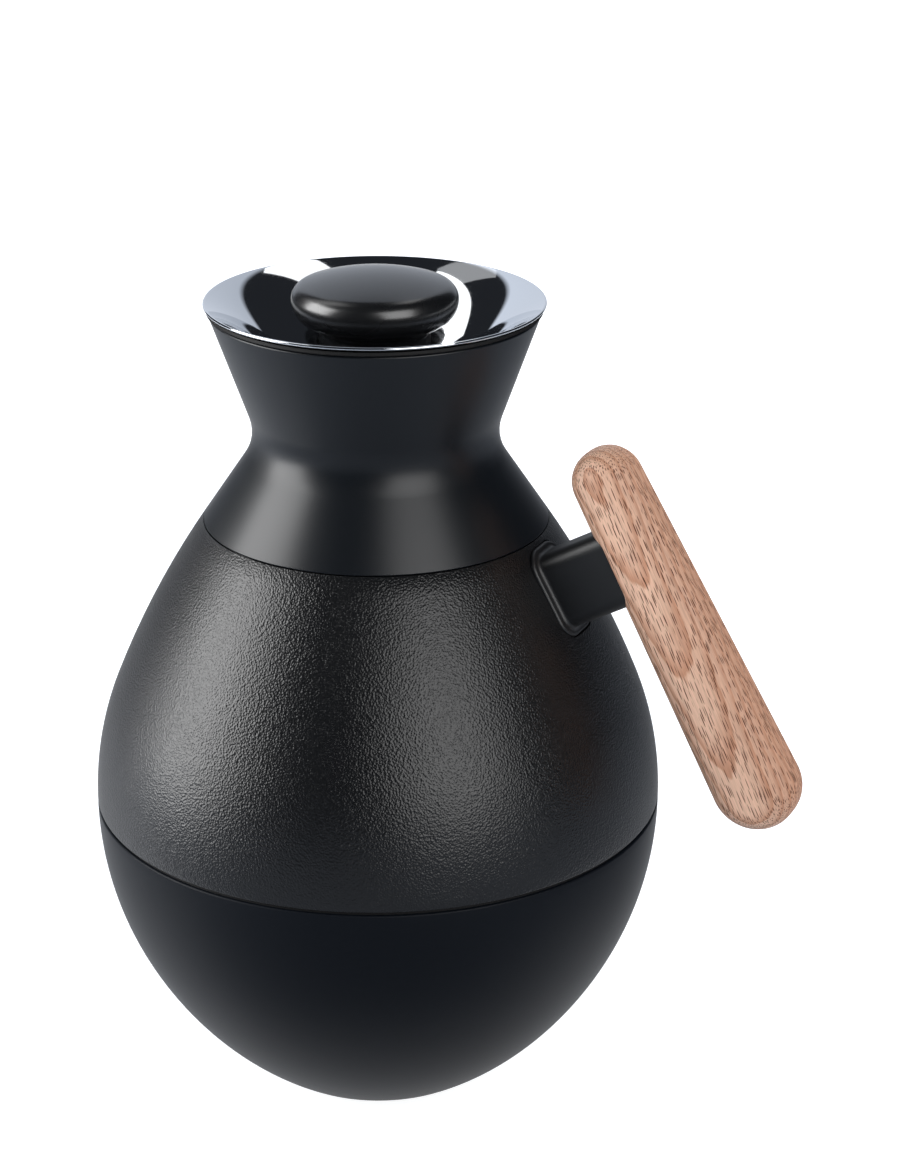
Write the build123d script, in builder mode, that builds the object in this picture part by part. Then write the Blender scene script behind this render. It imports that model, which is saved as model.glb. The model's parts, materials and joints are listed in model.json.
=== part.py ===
"""Insulated serving jug with a steel pouring funnel, a push-button stopper and a beech bar handle.

Millimetres. The origin is on the jug's axis at table height, +Z is up and the handle points along +X.
"""

import os
from math import atan2, cos, degrees, radians, sin

from build123d import *

os.makedirs("parts", exist_ok=True)

# Outer form of the body: two tangent arcs below its widest place and two above
body_radius = 80.0
seam_height = 85.4
seam_gap = 0.9
bowl_high_arc = 96.1
bowl_high_turn = 24.5
bowl_low_arc = 105.6
bowl_low_turn = 31.5
shell_low_arc = 88.9
shell_low_turn = 21.8
shell_high_arc = 254.9
shell_high_turn = 12.4
collar_gap = 0.3
shell_wall = 2.6
edge_round = 0.5

# Collar, with its waist and its flare
waist_corner_radius = 32.2
waist_corner_height = 190.6
waist_round = 14.5
collar_top_radius = 45.4
collar_top_height = 227.4
collar_wall = 2.4
shelf_height = 179.0
shelf_thickness = 2.5
spigot_length = 8.0
spigot_wall = 2.2
slip = 0.3

# Steel funnel
lip_radius = 46.0
lip_height = 229.1
lip_slope = 28.0
throat_radius = 19.0
throat_bottom = 173.0
sheet = 0.8
lip_edge_round = 0.3
lip_seal_thickness = 0.8
lip_seal_width = 2.2
lip_seal_slip = 0.25

# Base and foot
base_floor = 1.0
base_floor_thickness = 2.8
foot_pad_radius = 30.0
foot_pad_depth = 1.3
thread_height = 9.0
thread_slip = 0.9
rib_radius = 30.0
rib_wall = 2.0
rib_height = 2.7

# Vacuum flask, from the liquid outwards
flask_radius = 60.0
flask_floor = 17.0
flask_floor_radius = 28.0
flask_heel_radius = 48.0
flask_heel_height = 35.0
flask_side_height = 62.0
flask_shoulder_height = 111.0
flask_neck_radius = 20.5
flask_neck_height = 161.5
flask_sheet = 0.8
vacuum_gap = 8.0
flask_top = 169.0
gasket_thickness = 3.2
notch_count = 6
seal_cap_radius = 9.0
seal_cap_thickness = 1.6

# Handle
boss_root_radius = 55.4
boss_root_height = 154.7
handle_tilt = 29.3
handle_standoff = 27.2
grip_up = 22.2
grip_down = 69.2
grip_top_radius = 9.3
grip_bottom_radius = 12.1
grip_thickness = 16.0
grip_round = 6.5
boss_width = 14.0
boss_height = 21.5
boss_corner = 4.0
boss_flange = 2.3
boss_flange_rise = 0.5
boss_flange_thickness = 2.3
boss_flange_round = 0.9
boss_root_fillet = 1.2
boss_inner_end = 4.0
clamp_plate_width = 19.0
clamp_plate_height = 28.0
clamp_plate_thickness = 2.0
bolt_spacing = 11.0
bolt_radius = 2.0
bolt_head_radius = 3.5
bolt_head_height = 4.0
bolt_socket_radius = 1.7
washer_radius = 4.4
washer_thickness = 0.8
insert_radius = 3.2
insert_length = 10.0
insert_sink = 2.5

# Stopper
plug_radius = 18.4
plug_wall = 2.4
plug_bottom = 160.0
seat_thickness = 3.0
port_radius = 13.0
plug_top = 197.0
post_count = 3
post_width = 6.0
deck_bottom = 206.0
deck_thickness = 2.5
lug_reach = 19.7
lug_width = 4.0
lug_bottom = 194.3
guide_wall = 3.0
guide_top = 213.0
guide_bottom = 201.0
seal_bottom = 178.0
seal_height = 6.0
seal_depth = 1.0
stem_radius = 1.75
running_fit = 0.08

# Knob and valve
knob_radius = 22.6
knob_top = 236.6
knob_middle = 229.2
knob_shoulder_round = 4.6
knob_belly_round = 7.0
knob_neck_radius = 15.0
knob_neck_top = 219.0
knob_bottom = 212.8
knob_cavity_radius = 12.4
knob_cavity_top = 226.0
socket_radius = 5.0
socket_bottom = 218.0
stem_top = 230.0
valve_radius = 16.2
valve_thickness = 3.5
valve_seal_thickness = 2.4
valve_gap = 0.1
stem_shoulder_radius = 4.0
stem_shoulder_height = 2.0
nut_width = 6.0
nut_height = 2.4
stem_tail = 3.0
spring_radius = 8.9
spring_wire_radius = 0.6
spring_turns = 4.5


def along(point, angle, distance):
    """Point at a distance from another, at an angle above the radial direction."""
    return (point[0] + distance * cos(radians(angle)), point[1] + distance * sin(radians(angle)))


def bowl_wall(inset, mode):
    """Arcs of the base bowl's wall, from the seam down to the foot, moved inwards by inset."""
    top = (body_radius - inset, seam_height - seam_gap / 2)
    high = JernArc(top, (0, -1), bowl_high_arc - inset, -bowl_high_turn, mode=mode)
    low = JernArc(high @ 1, high % 1, bowl_low_arc - inset, -bowl_low_turn, mode=mode)
    return high, low


def side_wall(inset, mode):
    """Arcs of the body shell's wall, from the seam up to the shoulder, moved inwards by inset."""
    bottom = (body_radius - inset, seam_height + seam_gap / 2)
    low = JernArc(bottom, (0, 1), shell_low_arc - inset, shell_low_turn, mode=mode)
    high = JernArc(low @ 1, low % 1, shell_high_arc - inset, shell_high_turn, mode=mode)
    return low, high


def straight_stretches(first, second):
    """Line through points a third of the way apart on two arcs, for the hidden side of a wall."""
    places = [0, 1 / 3, 2 / 3]
    return Polyline(*[first @ place for place in places], *[second @ place for place in places], second @ 1)


def funnel_flare(outset):
    """Arc of the funnel, from the lip to the throat, moved outwards by outset."""
    lip = along((lip_radius, lip_height), lip_slope - 90, outset)
    inwards = (-cos(radians(lip_slope)), -sin(radians(lip_slope)))
    return JernArc(lip, inwards, funnel_arc - outset, 90 - lip_slope)


def moved_out(corners, gap):
    """Line through corners, after each stretch moves to the right of its own run by gap."""
    sides = []
    for start, end in zip(corners, corners[1:]):
        run = Vector(*end) - Vector(*start)
        sides.append(Vector(run.Y, -run.X).normalized())
    moved = [Vector(*corners[0]) + sides[0] * gap]
    for corner, before, after in zip(corners[1:], sides, sides[1:]):
        moved.append(Vector(*corner) + (before + after) * (gap / (1 + before.dot(after))))
    moved.append(Vector(*corners[-1]) + sides[-1] * gap)
    return Polyline(*moved)


def flask_wall(gap):
    """Line of a flask wall, from the middle of its floor to its rim, outside the liquid by gap."""
    corners = [
        (0, flask_floor),
        (flask_floor_radius, flask_floor),
        (flask_heel_radius, flask_heel_height),
        (flask_radius, flask_side_height),
        (flask_radius, flask_shoulder_height),
        (flask_neck_radius, flask_neck_height),
        (flask_neck_radius, flask_top),
    ]
    return moved_out(corners, gap)


funnel_arc = (lip_radius - throat_radius) / (1 - sin(radians(lip_slope)))
boss_plane = Plane(
    origin=(boss_root_radius, 0, boss_root_height),
    x_dir=(0, 1, 0),
    z_dir=(cos(radians(handle_tilt)), 0, sin(radians(handle_tilt))),
)
handle_plane = Plane(origin=boss_plane.origin, x_dir=boss_plane.z_dir, z_dir=(0, -1, 0))
bolt_places = [(0, bolt_spacing / 2), (0, -bolt_spacing / 2)]
grip_taper = (grip_bottom_radius - grip_top_radius) / (grip_up + grip_down)
grip_inner_edge = handle_standoff - grip_top_radius - grip_taper * grip_up

# Base bowl: smooth outside, with the female half of the thread at its top and a cup for the cushion
base_inside = base_floor + base_floor_thickness
with BuildPart() as base_bowl:
    with BuildSketch(Plane.XZ):
        with BuildLine():
            outer_high, outer_low = bowl_wall(0, Mode.ADD)
            inner = straight_stretches(*bowl_wall(shell_wall, Mode.PRIVATE))
            Line(outer_high @ 0, inner @ 0)
            Polyline(
                outer_low @ 1,
                ((outer_low @ 1).X - shell_wall, base_floor),
                (0, base_floor),
                (0, base_inside),
                ((inner @ 1).X - shell_wall, base_inside),
                inner @ 1,
            )
        make_face()
        with Locations((rib_radius, base_inside - base_floor)):
            Rectangle(rib_wall, base_floor + rib_height, align=Align.MIN)
    revolve(axis=Axis.Z)
    with BuildSketch(Plane.XY.offset(base_floor)):
        Circle(foot_pad_radius)
    extrude(amount=foot_pad_depth, mode=Mode.SUBTRACT)
    chamfer(base_bowl.edges().group_by(Axis.Z)[-1].sort_by(SortBy.RADIUS)[-1], edge_round)

# Foot pad: non-slip disc let into the base
with BuildPart() as foot_pad:
    with BuildSketch():
        Circle(foot_pad_radius - slip / 2)
    extrude(amount=base_floor + foot_pad_depth)
    chamfer(foot_pad.edges().group_by(Axis.Z)[0], edge_round)

# Base seal: square ring in the lower seam
spigot_radius = body_radius - shell_wall - thread_slip
with BuildPart() as base_seal:
    with BuildSketch(Plane.XY.offset(seam_height - seam_gap / 2)):
        Circle(body_radius - shell_wall / 3)
        Circle(spigot_radius + slip / 2, mode=Mode.SUBTRACT)
    extrude(amount=seam_gap)

# Body shell: grained outside, with the male half of the thread below and a seat for the handle's boss
with BuildPart() as body_shell:
    with BuildSketch(Plane.XZ):
        with BuildLine():
            outer_low, outer_high = side_wall(0, Mode.ADD)
            inner = straight_stretches(*side_wall(shell_wall, Mode.PRIVATE))
            Line(outer_low @ 0, inner @ 0)
            Line(outer_high @ 1, inner @ 1)
        make_face()
        with Locations((spigot_radius, seam_height - thread_height)):
            Rectangle(spigot_wall, 2 * thread_height, align=(Align.MAX, Align.MIN))
        with Locations((spigot_radius, seam_height + seam_gap / 2)):
            Rectangle(shell_wall, thread_height - seam_gap / 2, align=Align.MIN)
    revolve(axis=Axis.Z)
    with BuildSketch(boss_plane.offset(boss_flange_rise - boss_flange_thickness)):
        pocket = 2 * (boss_flange + slip)
        RectangleRounded(boss_width + pocket, boss_height + pocket, boss_corner + boss_flange)
    extrude(amount=shell_wall * 2, mode=Mode.SUBTRACT)
    with BuildSketch(boss_plane):
        RectangleRounded(boss_width + 2 * slip, boss_height + 2 * slip, boss_corner)
    extrude(amount=-shell_wall * 2, mode=Mode.SUBTRACT)
    shell_foot = body_shell.edges().filter_by_position(Axis.Z, seam_height, seam_height + seam_gap)
    chamfer(shell_foot.filter_by(GeomType.CIRCLE).sort_by(SortBy.RADIUS)[-1], edge_round)

# Neck collar: one waisted wall, a spigot inside the shell and a shelf that the lock ring pulls against
shoulder = outer_high @ 1
shoulder_lean = shell_low_turn + shell_high_turn
into_wall = 180 + shoulder_lean
up_wall = 90 + shoulder_lean
collar_foot = along((shoulder.X, shoulder.Y), up_wall, collar_gap)
collar_wall_middle = along(collar_foot, into_wall, collar_wall / 2)
spigot_start = along(collar_foot, into_wall, shell_wall + slip)
spigot_end = along(spigot_start, up_wall, -spigot_length)
with BuildPart() as neck_collar:
    with BuildSketch(Plane.XZ):
        with BuildLine():
            wall_line = FilletPolyline(
                collar_foot,
                (waist_corner_radius, waist_corner_height),
                (collar_top_radius, collar_top_height),
                radius=waist_round,
            )
            offset(wall_line, amount=collar_wall, side=Side.LEFT)
        make_face()
        with BuildLine():
            Polyline(
                collar_wall_middle,
                spigot_start,
                spigot_end,
                along(spigot_end, into_wall, spigot_wall),
                along(along(spigot_start, into_wall, spigot_wall), up_wall, collar_wall),
                along(collar_wall_middle, up_wall, 2 * collar_wall),
                close=True,
            )
        make_face()
        with Locations((throat_radius + sheet + slip, shelf_height)):
            Rectangle(waist_corner_radius - throat_radius + collar_wall, shelf_thickness, align=Align.MIN)
    revolve(axis=Axis.Z)
    with BuildSketch(Plane.XZ):
        with BuildLine():
            seat_depth = sheet + lip_seal_slip + lip_seal_thickness
            seat = along((lip_radius, lip_height), lip_slope - 90, seat_depth)
            Polyline(
                seat,
                along(seat, lip_slope + 180, lip_radius / 4),
                (0, lip_height),
                (lip_radius, lip_height),
                close=True,
            )
        make_face()
    revolve(axis=Axis.Z, mode=Mode.SUBTRACT)
    with BuildSketch(boss_plane.offset(-shell_wall)):
        Rectangle(clamp_plate_width + spigot_wall, clamp_plate_height + 2 * slip)
    extrude(amount=-spigot_length, mode=Mode.SUBTRACT)

# Pouring funnel: drawn sheet with a flared lip and a straight throat
with BuildPart() as pouring_funnel:
    with BuildSketch(Plane.XZ):
        with BuildLine():
            upper = funnel_flare(0)
            lower = funnel_flare(sheet)
            Line(upper @ 0, lower @ 0)
            Polyline(
                upper @ 1,
                (throat_radius, throat_bottom),
                (throat_radius + sheet, throat_bottom),
                lower @ 1,
            )
        make_face()
    revolve(axis=Axis.Z)
    chamfer(pouring_funnel.edges().sort_by(Axis.Z)[-2:], lip_edge_round)

# Lip seal: black washer between the funnel's lip and the collar's top
with BuildPart() as lip_seal:
    with BuildSketch(Plane.XZ):
        with BuildLine():
            under_lip = along((lip_radius, lip_height), lip_slope - 90, sheet + lip_seal_slip)
            top_edge = along(under_lip, lip_slope + 180, 2 * sheet)
            inner_edge = along(top_edge, lip_slope + 180, lip_seal_width)
            Polyline(
                top_edge,
                inner_edge,
                along(inner_edge, lip_slope - 90, lip_seal_thickness),
                along(top_edge, lip_slope - 90, lip_seal_thickness),
                close=True,
            )
        make_face()
    revolve(axis=Axis.Z)

# Lock ring: nut on the throat, under the collar's shelf, with notches for a spanner
lock_ring_bottom = flask_top + flask_sheet + gasket_thickness
lock_ring_radius = flask_neck_radius + 2 * flask_sheet + vacuum_gap
with BuildPart() as funnel_lock_ring:
    with BuildSketch(Plane.XY.offset(lock_ring_bottom)):
        Circle(lock_ring_radius)
        Circle(throat_radius + sheet + slip / 2, mode=Mode.SUBTRACT)
        with PolarLocations(lock_ring_radius, notch_count):
            Rectangle(collar_wall, 2 * collar_wall, mode=Mode.SUBTRACT)
    extrude(amount=shelf_height - lock_ring_bottom)

# Mouth gasket: soft ring between the flask's rim and the funnel
with BuildPart() as mouth_gasket:
    with BuildSketch(Plane.XY.offset(flask_top + flask_sheet)):
        Circle(lock_ring_radius)
        Circle(throat_radius, mode=Mode.SUBTRACT)
    extrude(amount=gasket_thickness)

# Inner flask: holds the drink, with a rim turned out over the outer flask
with BuildPart() as inner_flask:
    with BuildSketch(Plane.XZ):
        with BuildLine():
            wet_side = flask_wall(0)
            dry_side = flask_wall(flask_sheet)
            Line(wet_side @ 0, dry_side @ 0)
            rim_top = flask_top + flask_sheet
            Polyline(
                wet_side @ 1,
                (flask_neck_radius, rim_top),
                (lock_ring_radius, rim_top),
                (lock_ring_radius, flask_top),
                dry_side @ 1,
            )
        make_face()
    revolve(axis=Axis.Z)

# Outer flask: second wall, welded to the rim, with the vacuum between
with BuildPart() as outer_flask:
    with BuildSketch(Plane.XZ):
        with BuildLine():
            vacuum_side = flask_wall(flask_sheet + vacuum_gap)
            air_side = flask_wall(2 * flask_sheet + vacuum_gap)
            Line(vacuum_side @ 0, air_side @ 0)
            Line(vacuum_side @ 1, air_side @ 1)
        make_face()
    revolve(axis=Axis.Z)

# Vacuum seal cap: covers the point where the flask was pumped out
flask_underside = flask_floor - 2 * flask_sheet - vacuum_gap
with BuildPart() as vacuum_seal_cap:
    with BuildSketch(Plane.XY.offset(flask_underside)):
        Circle(seal_cap_radius)
    extrude(amount=-seal_cap_thickness)
    chamfer(vacuum_seal_cap.edges().group_by(Axis.Z)[0], edge_round)

# Flask cushion: ring on the base's floor, hollowed to the flask's own curve
with BuildPart() as flask_cushion:
    with BuildSketch(Plane.XZ):
        with Locations((seal_cap_radius + shell_wall, base_inside)):
            cushion_width = rib_radius - seal_cap_radius - shell_wall - slip
            Rectangle(cushion_width, flask_floor - base_inside, align=Align.MIN)
    revolve(axis=Axis.Z)
    with BuildSketch(Plane.XZ):
        with BuildLine():
            seat_wall = flask_wall(2 * flask_sheet + vacuum_gap)
            Polyline(seat_wall @ 1, (0, flask_top), seat_wall @ 0)
        make_face()
    revolve(axis=Axis.Z, mode=Mode.SUBTRACT)

# Blank of the beech bar: a tapered bar with full-round ends and soft edges
with BuildPart() as grip_blank:
    with BuildSketch(handle_plane):
        with Locations((handle_standoff, grip_up)):
            Circle(grip_top_radius)
        with Locations((handle_standoff, -grip_down)):
            Circle(grip_bottom_radius)
        make_hull()
    extrude(amount=grip_thickness / 2, both=True)
    fillet(grip_blank.faces().filter_by(Axis.Y).edges(), grip_round)

# Handle grip: the bar, drilled for its inserts
with BuildPart() as handle_grip:
    add(grip_blank.part)
    with BuildSketch(boss_plane.offset(grip_inner_edge - slip)):
        with Locations(bolt_places):
            Circle(insert_radius)
    extrude(amount=insert_sink + insert_length + grip_round, mode=Mode.SUBTRACT)

# Handle boss: flanged foot in the shell's pocket, and a saddle that hugs the bar
with BuildPart() as handle_boss:
    with BuildSketch(boss_plane.offset(-boss_inner_end)):
        RectangleRounded(boss_width, boss_height, boss_corner)
    extrude(amount=boss_inner_end + grip_inner_edge + grip_round)
    with BuildSketch(boss_plane.offset(boss_flange_rise)):
        flange_width = boss_width + 2 * boss_flange
        flange_height = boss_height + 2 * boss_flange
        RectangleRounded(flange_width, flange_height, boss_corner + boss_flange)
    extrude(amount=-boss_flange_thickness)
    boss_axis = Axis(boss_plane.origin, boss_plane.z_dir)
    flange_top = handle_boss.faces().filter_by(boss_plane).sort_by(boss_axis)[-2]
    fillet(flange_top.inner_wires()[0].edges(), boss_root_fillet)
    flange_top = handle_boss.faces().filter_by(boss_plane).sort_by(boss_axis)[-2]
    fillet(flange_top.outer_wire().edges(), boss_flange_round)
    add(grip_blank.part, mode=Mode.SUBTRACT)
    with BuildSketch(boss_plane.offset(-boss_inner_end)):
        with Locations(bolt_places):
            Circle(bolt_radius + slip)
    extrude(amount=boss_inner_end + handle_standoff, mode=Mode.SUBTRACT)

# Clamp plate, washers, bolts and inserts that hold the handle, along the boss's axis
plate_level = -boss_inner_end
washer_level = plate_level - clamp_plate_thickness
head_level = washer_level - washer_thickness
insert_level = grip_inner_edge + insert_sink
with BuildPart() as handle_plate:
    with BuildSketch(boss_plane.offset(plate_level)):
        RectangleRounded(clamp_plate_width, clamp_plate_height, boss_corner)
        with Locations(bolt_places):
            Circle(bolt_radius + slip, mode=Mode.SUBTRACT)
    extrude(amount=-clamp_plate_thickness)

with BuildPart() as handle_washers:
    with BuildSketch(boss_plane.offset(washer_level)):
        with Locations(bolt_places):
            Circle(washer_radius)
        with Locations(bolt_places):
            Circle(bolt_radius + slip / 2, mode=Mode.SUBTRACT)
    extrude(amount=-washer_thickness)

with BuildPart() as handle_bolts:
    with BuildSketch(boss_plane.offset(head_level)):
        with Locations(bolt_places):
            Circle(bolt_head_radius)
    extrude(amount=-bolt_head_height)
    with BuildSketch(boss_plane.offset(head_level)):
        with Locations(bolt_places):
            Circle(bolt_radius)
    extrude(amount=insert_level + insert_length - head_level)
    with BuildSketch(boss_plane.offset(head_level - bolt_head_height)):
        with Locations(bolt_places):
            RegularPolygon(bolt_socket_radius, 6)
    extrude(amount=bolt_head_height / 2, mode=Mode.SUBTRACT)

with BuildPart() as handle_inserts:
    with BuildSketch(boss_plane.offset(insert_level)):
        with Locations(bolt_places):
            Circle(insert_radius)
        with Locations(bolt_places):
            Circle(bolt_radius + running_fit, mode=Mode.SUBTRACT)
    extrude(amount=insert_length)

# Stopper housing: sleeve with the seal's groove, and lugs that rest on the funnel
seat_top = plug_bottom + seat_thickness
deck_top = deck_bottom + deck_thickness
with BuildPart() as stopper_housing:
    with BuildSketch(Plane.XY.offset(seat_top)):
        Circle(plug_radius)
        Circle(plug_radius - plug_wall, mode=Mode.SUBTRACT)
    extrude(amount=plug_top - seat_top)
    with BuildSketch(Plane.XY.offset(seal_bottom)):
        Circle(plug_radius)
        Circle(plug_radius - seal_depth, mode=Mode.SUBTRACT)
    extrude(amount=seal_height, mode=Mode.SUBTRACT)
    with PolarLocations(plug_radius - slip, post_count):
        with Locations((0, 0, lug_bottom)):
            Box(lug_reach - plug_radius + slip, lug_width, plug_top - lug_bottom,
                align=(Align.MIN, Align.CENTER, Align.MIN))

# Valve seat: ring that closes the sleeve's lower end down to the port
with BuildPart() as valve_seat:
    with BuildSketch(Plane.XY.offset(plug_bottom)):
        Circle(plug_radius)
        Circle(port_radius, mode=Mode.SUBTRACT)
    extrude(amount=seat_thickness)
    chamfer(valve_seat.edges().group_by(Axis.Z)[0].sort_by(SortBy.RADIUS)[-1], edge_round)

# Stopper cap: deck on posts, so that the drink runs out all round, with a guide for the stem
with BuildPart() as stopper_cap:
    with BuildSketch(Plane.XY.offset(deck_bottom)):
        Circle(plug_radius)
    extrude(amount=deck_thickness)
    with BuildSketch(Plane.XY.offset(guide_bottom)):
        Circle(stem_radius + running_fit + guide_wall)
    extrude(amount=guide_top - guide_bottom)
    with BuildSketch(Plane.XY.offset(plug_top)):
        with PolarLocations(plug_radius - plug_wall / 2 - slip, post_count):
            Rectangle(plug_wall, post_width)
    extrude(amount=deck_bottom - plug_top)
    with BuildSketch(Plane.XY.offset(guide_bottom)):
        Circle(stem_radius + running_fit)
    extrude(amount=guide_top - guide_bottom, mode=Mode.SUBTRACT)

# Stopper seal: silicone ring with two soft lips, in the plug's groove
seal_back = plug_radius - seal_depth
with BuildPart() as stopper_seal:
    with BuildSketch(Plane.XZ):
        with Locations((seal_back, seal_bottom)):
            Rectangle(seal_depth, seal_height, align=Align.MIN)
        with Locations((seal_back, seal_bottom + seal_height / 2)):
            with GridLocations(0, seal_height / 2, 1, 2):
                Trapezoid(seal_height / 2, throat_radius - slip - seal_back, 60, rotation=-90,
                          align=(Align.CENTER, Align.MIN))
    revolve(axis=Axis.Z)

# Knob: pebble with a tapering underside, a neck and a socket for the stem
crown_drop = knob_top - knob_middle - knob_shoulder_round
crown_reach = knob_radius - knob_shoulder_round
crown_turn = degrees(2 * atan2(crown_drop, crown_reach))
crown_arc = knob_shoulder_round + crown_reach / sin(radians(crown_turn))
belly_drop = knob_middle - knob_neck_top
belly_turn = degrees(2 * atan2(knob_radius - knob_neck_radius, belly_drop))
neck_arc = belly_drop / sin(radians(belly_turn)) - knob_belly_round
with BuildPart() as stopper_knob:
    with BuildSketch(Plane.XZ):
        with BuildLine():
            crown = JernArc((0, knob_top), (1, 0), crown_arc, -crown_turn)
            edge = JernArc(crown @ 1, crown % 1, knob_shoulder_round, crown_turn - 90)
            belly = JernArc(edge @ 1, edge % 1, knob_belly_round, -belly_turn)
            JernArc(belly @ 1, belly % 1, neck_arc, belly_turn)
            Polyline((knob_neck_radius, knob_neck_top), (knob_neck_radius, knob_bottom), (0, knob_bottom),
                     (0, knob_top))
        make_face()
    revolve(axis=Axis.Z)
    with BuildSketch(Plane.XY.offset(knob_bottom)):
        Circle(knob_cavity_radius)
    extrude(amount=knob_cavity_top - knob_bottom, mode=Mode.SUBTRACT)
    with BuildSketch(Plane.XY.offset(socket_bottom)):
        Circle(socket_radius)
    extrude(amount=knob_cavity_top - socket_bottom)
    with BuildSketch(Plane.XY.offset(socket_bottom)):
        Circle(stem_radius)
    extrude(amount=stem_top - socket_bottom, mode=Mode.SUBTRACT)

# Push stem with its shoulder, and the valve disc, valve seal and nut on its tail
valve_seal_top = plug_bottom - valve_gap
valve_top = valve_seal_top - valve_seal_thickness
valve_bottom = valve_top - valve_thickness
with BuildPart() as push_stem:
    with BuildSketch(Plane.XY.offset(valve_bottom - stem_tail)):
        Circle(stem_radius)
    extrude(amount=stem_top - valve_bottom + stem_tail)
    with BuildSketch(Plane.XY.offset(valve_seal_top)):
        Circle(stem_shoulder_radius)
    extrude(amount=stem_shoulder_height)
    chamfer(push_stem.edges().group_by(Axis.Z)[-1], edge_round)

with BuildPart() as valve_disc:
    with BuildSketch(Plane.XY.offset(valve_bottom)):
        Circle(valve_radius)
        Circle(stem_radius, mode=Mode.SUBTRACT)
    extrude(amount=valve_thickness)
    chamfer(valve_disc.edges().group_by(Axis.Z)[0].sort_by(SortBy.RADIUS)[-1], 2 * edge_round)

with BuildPart() as valve_seal:
    with BuildSketch(Plane.XY.offset(valve_top)):
        Circle(valve_radius)
        Circle(stem_radius, mode=Mode.SUBTRACT)
    extrude(amount=valve_seal_thickness)

with BuildPart() as stem_nut:
    with BuildSketch(Plane.XY.offset(valve_bottom)):
        RegularPolygon(nut_width / 2, 6, major_radius=False)
        Circle(stem_radius, mode=Mode.SUBTRACT)
    extrude(amount=-nut_height)

# Return spring: coil between the deck and the knob's cavity
spring_height = knob_cavity_top - deck_top - 2 * spring_wire_radius
with BuildPart() as return_spring:
    with BuildLine() as coil:
        Helix(
            spring_height / spring_turns,
            spring_height,
            spring_radius,
            center=(0, 0, deck_top + spring_wire_radius),
        )
    with BuildSketch(Plane(origin=coil.line @ 0, z_dir=coil.line % 0)):
        RegularPolygon(spring_wire_radius, 6)
    sweep(is_frenet=True)

pieces = {
    "base_bowl": base_bowl,
    "foot_pad": foot_pad,
    "base_seal": base_seal,
    "body_shell": body_shell,
    "neck_collar": neck_collar,
    "pouring_funnel": pouring_funnel,
    "lip_seal": lip_seal,
    "funnel_lock_ring": funnel_lock_ring,
    "mouth_gasket": mouth_gasket,
    "inner_flask": inner_flask,
    "outer_flask": outer_flask,
    "vacuum_seal_cap": vacuum_seal_cap,
    "flask_cushion": flask_cushion,
    "handle_grip": handle_grip,
    "handle_boss": handle_boss,
    "handle_plate": handle_plate,
    "handle_washers": handle_washers,
    "handle_bolts": handle_bolts,
    "handle_inserts": handle_inserts,
    "stopper_housing": stopper_housing,
    "valve_seat": valve_seat,
    "stopper_cap": stopper_cap,
    "stopper_seal": stopper_seal,
    "stopper_knob": stopper_knob,
    "push_stem": push_stem,
    "valve_disc": valve_disc,
    "valve_seal": valve_seal,
    "stem_nut": stem_nut,
    "return_spring": return_spring,
}
for name, piece in pieces.items():
    piece.part.label = name
    export_step(piece.part, f"parts/{name}.step")
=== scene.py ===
"""Looks of an insulated serving jug: black moulded body, mirror-polished funnel, beech bar handle.

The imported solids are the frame. Sizes are in millimetres and become metres where a mesh, a pattern or the
camera is made, apart from those of the studio's floor, glow and lights, which are in metres. Angles are in
degrees, colours are sRGB.
"""

import json
import logging
from collections.abc import Callable
from dataclasses import dataclass
from enum import Enum
from functools import partial
from math import asin, atan2, copysign, cos, degrees, pi, radians, sin, tan

import bmesh
import bpy
from bmesh.types import BMesh, BMVert
from bpy.types import Material, Node, NodeSocket, NodeTree, Object
from mathutils import Matrix, Vector


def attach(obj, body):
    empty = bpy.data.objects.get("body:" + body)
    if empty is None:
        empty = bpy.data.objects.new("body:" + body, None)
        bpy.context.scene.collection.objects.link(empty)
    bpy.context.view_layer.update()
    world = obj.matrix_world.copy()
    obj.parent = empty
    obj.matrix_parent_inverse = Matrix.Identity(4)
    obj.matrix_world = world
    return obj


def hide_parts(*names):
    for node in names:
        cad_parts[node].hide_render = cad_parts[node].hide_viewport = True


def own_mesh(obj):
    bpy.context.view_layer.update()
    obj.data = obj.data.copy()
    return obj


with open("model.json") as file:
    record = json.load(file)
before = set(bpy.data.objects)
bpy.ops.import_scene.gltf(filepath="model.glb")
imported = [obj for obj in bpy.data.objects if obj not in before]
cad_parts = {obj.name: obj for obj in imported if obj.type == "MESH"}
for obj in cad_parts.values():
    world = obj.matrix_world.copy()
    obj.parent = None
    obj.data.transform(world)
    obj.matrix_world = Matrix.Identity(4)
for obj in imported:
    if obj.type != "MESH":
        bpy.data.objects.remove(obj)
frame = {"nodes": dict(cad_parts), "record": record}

log = logging.getLogger("jug")
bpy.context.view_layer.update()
Point = tuple[float, float]
Pair = tuple[float, float]
AddNode = Callable[..., Node]

MM = 0.001
CREASE = radians(32)
# Most degrees from one point to the next: on long arcs, on small rounded edges and on softened corners
ARC_STRIDE = 1.4
EDGE_STRIDE = 15.0
SOFT_STRIDE = 9.0
# How near the middle of a quarter arc comes to its corner, as a share of the radius along each side
ARC_DEPTH = 0.3
# Where the handle's axis leaves the jug, in radius and height, its angle above the table, and how far along
# it the bar's middle is
HANDLE_ROOT = (55.4, 154.7)
HANDLE_TILT = 29.3
HANDLE_STANDOFF = 27.2
# Wall of the casing, room round a piece that slips into another, and slope of the funnel's lip
WALL = 2.6
SLIP = 0.3
LIP_SLOPE = 28.0
# The stretch of its scale that a noise mostly fills
NOISE_SPAN = {"From Min": 0.3, "From Max": 0.7}
FADE_OUT = {"To Min": 1.0, "To Max": 0.0}
# Colour inputs and output of a Mix node, by number, because its other kinds share their names
MIX_A = 6
MIX_B = 7
MIXED = 2


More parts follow.
